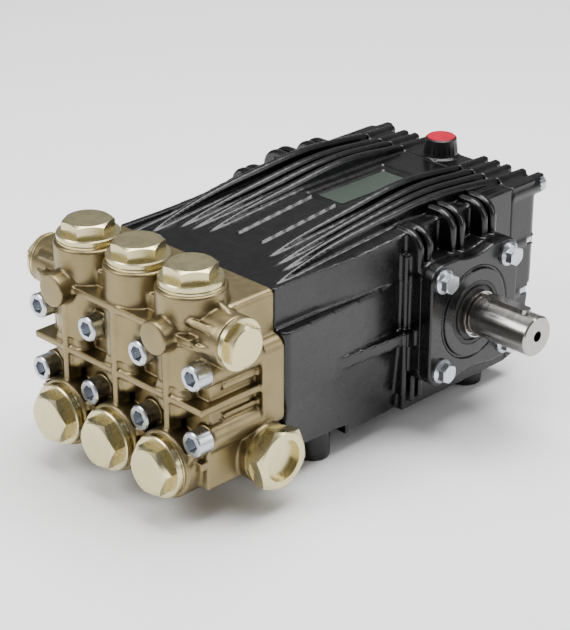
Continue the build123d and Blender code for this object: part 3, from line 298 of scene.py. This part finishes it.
def oil_glass():
    """A glass window with amber oil behind it."""
    material, tree, surface = new_material("oil behind glass", IOR=1.5, Coat_Weight=1.0,
                                           Coat_Roughness=0.03)
    low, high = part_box("sight_glass")
    place = put(tree, "ShaderNodeTexCoord").outputs["Object"]
    height = put(tree, "ShaderNodeSeparateXYZ", Vector=place).outputs["Z"]
    middle = (low.z + high.z) / 2
    level = spread(tree, height, 0.0, 1.0, middle - OIL_LINE * MM, middle + OIL_LINE * MM)
    tone = two_tone(tree, level, srgb("#8A5B17"), srgb("#D9D4C4"))
    tree.links.new(tone, surface.inputs["Base Color"])
    tree.links.new(spread(tree, noise(tree, 6.0, 2.0), 0.05, 0.12), surface.inputs["Roughness"])
    return material


def anodised_plate():
    """Brushed and anodised aluminium sheet: satin, with fine lines along the plate."""
    look = bpy.context.scene.pump_look
    material, tree, surface = new_material("brushed anodised aluminium", Metallic=1.0)
    line = noise(tree, 3.0, 4.0, 0.7, (20.0, 1.0, 20.0))
    tone = two_tone(tree, spread(tree, line, 0, 1), scaled(look.plate, 0.85), scaled(look.plate, 1.15))
    tree.links.new(tone, surface.inputs["Base Color"])
    tree.links.new(spread(tree, line, 0.3, 0.42), surface.inputs["Roughness"])
    relief(tree, surface, line, 0.01, 0.5)
    return material


def fibre_gasket():
    """Pressed fibre gasket: dull brown-black with visible fibres."""
    material, tree, surface = new_material("pressed fibre gasket", IOR=1.45)
    line = noise(tree, 2.0, 5.0, 0.7)
    tree.links.new(two_tone(tree, spread(tree, line, 0, 1), srgb("#15130F"), srgb("#2C2820")),
                   surface.inputs["Base Color"])
    tree.links.new(spread(tree, line, 0.75, 0.9), surface.inputs["Roughness"])
    relief(tree, surface, line, 0.03, 0.6)
    return material


# ---------------------------------------------------------------- dressing CAD nodes
def numbered(*stems):
    """Node names of the three cylinders' like pieces."""
    return [f"{stem}_{number}" for stem in stems for number in (1, 2, 3)]


def dress(names, material):
    """Give CAD nodes one finish."""
    for name in names:
        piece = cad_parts[name]
        piece.data.materials.clear()
        piece.data.materials.append(material)


def soften(names, voxel_mm, passes, faces):
    """Round a casting's edges as a mould does: remesh it finely and relax it."""
    for name in names:
        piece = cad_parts[name]
        shell = piece.modifiers.new("cast skin", "REMESH")
        shell.mode = "VOXEL"
        shell.voxel_size = voxel_mm * MM
        shell.use_smooth_shade = True
        relax = piece.modifiers.new("cast radius", "SMOOTH")
        relax.factor = 0.5
        relax.iterations = passes
        thin = piece.modifiers.new("fewer faces", "DECIMATE")
        thin.ratio = faces


def shade(names):
    """Smooth shading that keeps machined edges sharp."""
    for name in names:
        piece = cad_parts[name]
        chosen = {"object": piece, "active_object": piece, "selected_objects": [piece],
                  "selected_editable_objects": [piece]}
        with bpy.context.temp_override(**chosen):
            bpy.ops.object.shade_smooth_by_angle(angle=math.radians(SHARP_ANGLE))


# ---------------------------------------------------------------- settings
class PumpSizes(bpy.types.PropertyGroup):
    """Sizes of the finishes' patterns and of the stage."""

    enamel_peel: FloatProperty(name="Enamel peel (mm)", default=1.6, min=0.2,
                               description="Spacing of the orange peel in the enamel")
    sand_grain: FloatProperty(name="Sand grain (mm)", default=0.9, min=0.1,
                              description="Grain of the brass casting, drawn a little coarse")
    turned_ring: FloatProperty(name="Turning mark (mm)", default=0.9, min=0.1,
                               description="Pitch of the lathe marks, drawn coarser than real")
    cast_voxel: FloatProperty(name="Casting skin (mm)", default=1.0, min=0.4,
                              description="Mesh size of the cast skins")
    cast_passes: IntProperty(name="Casting radius passes", default=5, min=0,
                             description="Relaxing passes that round the cast edges")
    floor: FloatProperty(name="Floor", default=8.0, unit="LENGTH", min=1.0,
                         description="Width of the floor")
    lens: FloatProperty(name="Lens (mm)", default=117.58, min=10.0,
                        description="Focal length of the camera")


class PumpLook(bpy.types.PropertyGroup):
    """Colours of the pump's finishes, and of the painted edge highlight and painted hollow shade."""

    enamel: colour_property("Enamel", "Black enamel of the crankcase", "#060607")
    # Colour of the painted highlight along the enamel's outer edges.
    enamel_edge_highlight: colour_property("Enamel edge", "Thinner enamel along outer edges", "#1C1C1F")
    cast_brass: colour_property("Cast brass", "Skin of the brass head", "#877A5A")
    # Colour of the painted shade laid in the head's hollows.
    brass_hollow_shade: colour_property("Brass hollow", "Tarnish in the casting's hollows", "#3F341C")
    turned_brass: colour_property("Turned brass", "Machined caps and plugs", "#CFC49A")
    zinc: colour_property("Zinc", "Plated screws and bolts", "#BFC3C9")
    shaft_steel: colour_property("Shaft steel", "Ground drive shaft", "#A9A6A2")
    disc: colour_property("Filler disc", "Red disc on the filler cap", "#A80428")
    plate: colour_property("Plate", "Blank plate on the crankcase", "#6C7A70")


# ---------------------------------------------------------------- operators
class CrankcaseOperator(bpy.types.Operator):
    """Enamel the crankcase and the rear cover and round their cast edges"""

    bl_idname = "pump.crankcase"
    bl_label = "Crankcase and rear cover"

    def execute(self, context):
        size = context.scene.pump_size
        dress(["crankcase", "rear_cover"], painted_casting())
        soften(["crankcase", "rear_cover"], size.cast_voxel, size.cast_passes, CASE_FACES)
        dress(["rear_cover_gasket"], fibre_gasket())
        return {"FINISHED"}


class BearingCoversOperator(bpy.types.Operator):
    """Enamel the two bearing covers"""

    bl_idname = "pump.bearing_covers"
    bl_label = "Bearing covers"

    def execute(self, context):
        names = ["bearing_cover_drive_side", "bearing_cover_blind_side"]
        dress(names, bpy.data.materials[ENAMEL])
        soften(names, *COVER_SKIN)
        return {"FINISHED"}


class HeadOperator(bpy.types.Operator):
    """Give the head its cast brass skin"""

    bl_idname = "pump.head"
    bl_label = "Brass head"

    def execute(self, context):
        size = context.scene.pump_size
        dress(["pump_head"], cast_brass())
        soften(["pump_head"], size.cast_voxel * HEAD_VOXEL, size.cast_passes, HEAD_FACES)
        return {"FINISHED"}


class ValveCapsOperator(bpy.types.Operator):
    """Turned brass on the six valve caps"""

    bl_idname = "pump.valve_caps"
    bl_label = "Valve caps"

    def execute(self, context):
        low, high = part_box("discharge_valve_caps")
        pitch = (high.x - low.x - (high.y - low.y)) / 2
        centre = (low + high) / 2
        dress(["discharge_valve_caps"], turned_brass("turned brass, upright caps", centre, (0, 1), pitch))
        low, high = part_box("suction_valve_caps")
        centre = (low + high) / 2
        dress(["suction_valve_caps"], turned_brass("turned brass, front caps", centre, (0, 2), pitch))
        shade(["discharge_valve_caps", "suction_valve_caps"])
        return {"FINISHED"}


class PortPlugsOperator(bpy.types.Operator):
    """Turned brass on the port plugs, washers and packing rings"""

    bl_idname = "pump.port_plugs"
    bl_label = "Port plugs"

    def execute(self, context):
        for name in ("discharge_port_plugs", "suction_port_plugs"):
            low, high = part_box(name)
            title = "turned brass, " + name.replace("_", " ")
            dress([name], turned_brass(title, (low + high) / 2, (1, 2), 0.0))
        shared = bpy.data.materials["turned brass, suction port plugs"]
        dress(["port_plug_washers", "packing_rings"], shared)
        shade(["discharge_port_plugs", "suction_port_plugs", "port_plug_washers", "packing_rings"])
        return {"FINISHED"}


class FastenersOperator(bpy.types.Operator):
    """Zinc plate on every screw and bolt"""

    bl_idname = "pump.fasteners"
    bl_label = "Screws and bolts"

    def execute(self, context):
        names = ["head_screws", "bearing_cover_bolts", "rear_cover_screws", "oil_drain_plug"]
        names += numbered("rod_bolts")
        dress(names, zinc_plated_steel())
        shade(names)
        return {"FINISHED"}


class DriveOperator(bpy.types.Operator):
    """Ground steel on the crankshaft, its key and the hard inner parts"""

    bl_idname = "pump.drive"
    bl_label = "Crankshaft and hard parts"

    def execute(self, context):
        names = ["crankshaft", "shaft_key", "bearing_inner_rings", "bearing_outer_rings", "bearing_balls",
                 "valve_seats", "discharge_springs", "suction_springs"] + numbered("wrist_pin")
        dress(names, ground_steel())
        shade(names)
        return {"FINISHED"}


class RunningGearOperator(bpy.types.Operator):
    """Forged rods and crossheads, valve plates and ceramic plungers"""

    bl_idname = "pump.running_gear"
    bl_label = "Rods and plungers"

    def execute(self, context):
        names = numbered("connecting_rod", "rod_cap", "crosshead", "discharge_plate", "suction_plate")
        dress(names, forged_steel())
        dress(numbered("plunger"), alumina())
        shade(names + numbered("plunger"))
        return {"FINISHED"}


class SealsOperator(bpy.types.Operator):
    """Rubber on the seals, acetal on the valve cages"""

    bl_idname = "pump.seals"
    bl_label = "Seals and cages"

    def execute(self, context):
        names = ["shaft_seal", "oil_seals", "o_rings", "plunger_packings"]
        dress(names, nitrile_rubber())
        acetal = moulded_plastic("moulded acetal", srgb("#CFCBBE"), srgb("#E3E0D6"), 0.35, 1.2)
        dress(["valve_cages"], acetal)
        shade(names + ["valve_cages"])
        return {"FINISHED"}


class OilFittingsOperator(bpy.types.Operator):
    """Plastic filler cap with its red disc, the dipstick and the sight glass"""

    bl_idname = "pump.oil_fittings"
    bl_label = "Oil fittings"

    def execute(self, context):
        look = context.scene.pump_look
        black = moulded_plastic("moulded nylon", srgb("#0A0A0B"), srgb("#161618"), 0.3, 0.8)
        dress(["oil_filler_cap", "dipstick"], black)
        tones = scaled(look.disc, 0.85), scaled(look.disc, 1.1)
        red = moulded_plastic("moulded red nylon", *tones, 0.3, 1.5)
        red.node_tree.nodes["Principled BSDF"].inputs["Specular IOR Level"].default_value = 0.3
        dress(["filler_disc"], red)
        dress(["sight_glass"], oil_glass())
        shade(["oil_filler_cap", "dipstick", "filler_disc", "sight_glass"])
        return {"FINISHED"}


class PlateOperator(bpy.types.Operator):
    """Brushed aluminium on the blank plate"""

    bl_idname = "pump.plate"
    bl_label = "Blank plate"

    def execute(self, context):
        dress(["name_plate"], anodised_plate())
        shade(["name_plate"])
        return {"FINISHED"}


def area_light(name, place, aim, width, height, power):
    """A white soft box that looks at a point."""
    lamp = bpy.data.lights.new(name, "AREA")
    lamp.shape = "RECTANGLE"
    lamp.size = width
    lamp.size_y = height
    lamp.energy = power
    holder = bpy.data.objects.new(name, lamp)
    holder.location = place
    holder.rotation_euler = (Vector(aim) - Vector(place)).to_track_quat("-Z", "Y").to_euler()
    bpy.context.scene.collection.objects.link(holder)


class StageOperator(bpy.types.Operator):
    """A pale floor, soft light and the camera"""

    bl_idname = "pump.stage"
    bl_label = "Floor, light and camera"

    def execute(self, context):
        size = context.scene.pump_size
        low, high = Vector(CAD_BOX[0]), Vector(CAD_BOX[1])
        centre = (low + high) / 2
        half = size.floor / 2
        mesh = bpy.data.meshes.new("floor")
        corners = [(-half, -half, 0), (half, -half, 0), (half, half, 0), (-half, half, 0)]
        mesh.from_pydata(corners, [], [(0, 1, 2, 3)])
        floor = bpy.data.objects.new("floor", mesh)
        floor.location.z = low.z
        context.scene.collection.objects.link(floor)
        material, tree, surface = new_material("matt white floor")
        tree.links.new(two_tone(tree, noise(tree, FLOOR_CLOUD), srgb("#F6F6F6"), srgb("#FDFDFD")),
                       surface.inputs["Base Color"])
        surface.inputs["Roughness"].default_value = 0.9
        mesh.materials.append(material)
        world = bpy.data.worlds.new("studio")
        world.use_nodes = True
        sky = world.node_tree.nodes["Background"]
        sky.inputs["Color"].default_value = (1, 1, 1, 1)
        sky.inputs["Strength"].default_value = SKY_STRENGTH
        context.scene.world = world
        for name, place, width, height, power in LIGHTS:
            area_light(name, place, centre, width, height, power)
        camera = bpy.data.cameras.new("camera")
        camera.lens = size.lens
        camera.sensor_width = 36.0
        camera.clip_start = 0.05
        holder = bpy.data.objects.new("camera", camera)
        azimuth = math.radians(CAMERA_AZIMUTH)
        elevation = math.radians(CAMERA_ELEVATION)
        level = math.cos(elevation)
        aim = Vector((-math.sin(azimuth) * level, math.cos(azimuth) * level, -math.sin(elevation)))
        holder.location = CAMERA_PLACE
        holder.rotation_euler = aim.to_track_quat("-Z", "Y").to_euler()
        context.scene.collection.objects.link(holder)
        context.scene.camera = holder
        return {"FINISHED"}


OPERATORS = (
    CrankcaseOperator, BearingCoversOperator, HeadOperator, ValveCapsOperator, PortPlugsOperator,
    FastenersOperator, DriveOperator, RunningGearOperator, SealsOperator, OilFittingsOperator,
    PlateOperator, StageOperator,
)


class PumpPanel(bpy.types.Panel):
    """The pump's settings and steps"""

    bl_idname = "VIEW3D_PT_pump"
    bl_label = "Plunger pump"
    bl_space_type = "VIEW_3D"
    bl_region_type = "UI"
    bl_category = "Pump"

    def draw(self, context):
        for group in (context.scene.pump_size, context.scene.pump_look):
            for name in group.__annotations__:
                self.layout.prop(group, name)
        for operator in OPERATORS:
            self.layout.operator(operator.bl_idname)


CLASSES = (PumpSizes, PumpLook, *OPERATORS, PumpPanel)


def register():
    for kind in CLASSES:
        bpy.utils.register_class(kind)
    bpy.types.Scene.pump_size = PointerProperty(type=PumpSizes)
    bpy.types.Scene.pump_look = PointerProperty(type=PumpLook)


def unregister():
    del bpy.types.Scene.pump_look
    del bpy.types.Scene.pump_size
    for kind in reversed(CLASSES):
        bpy.utils.unregister_class(kind)


def main():
    register()
    for operator in OPERATORS:
        group, name = operator.bl_idname.split(".")
        getattr(getattr(bpy.ops, group), name)()


if __name__ == "__main__":
    main()
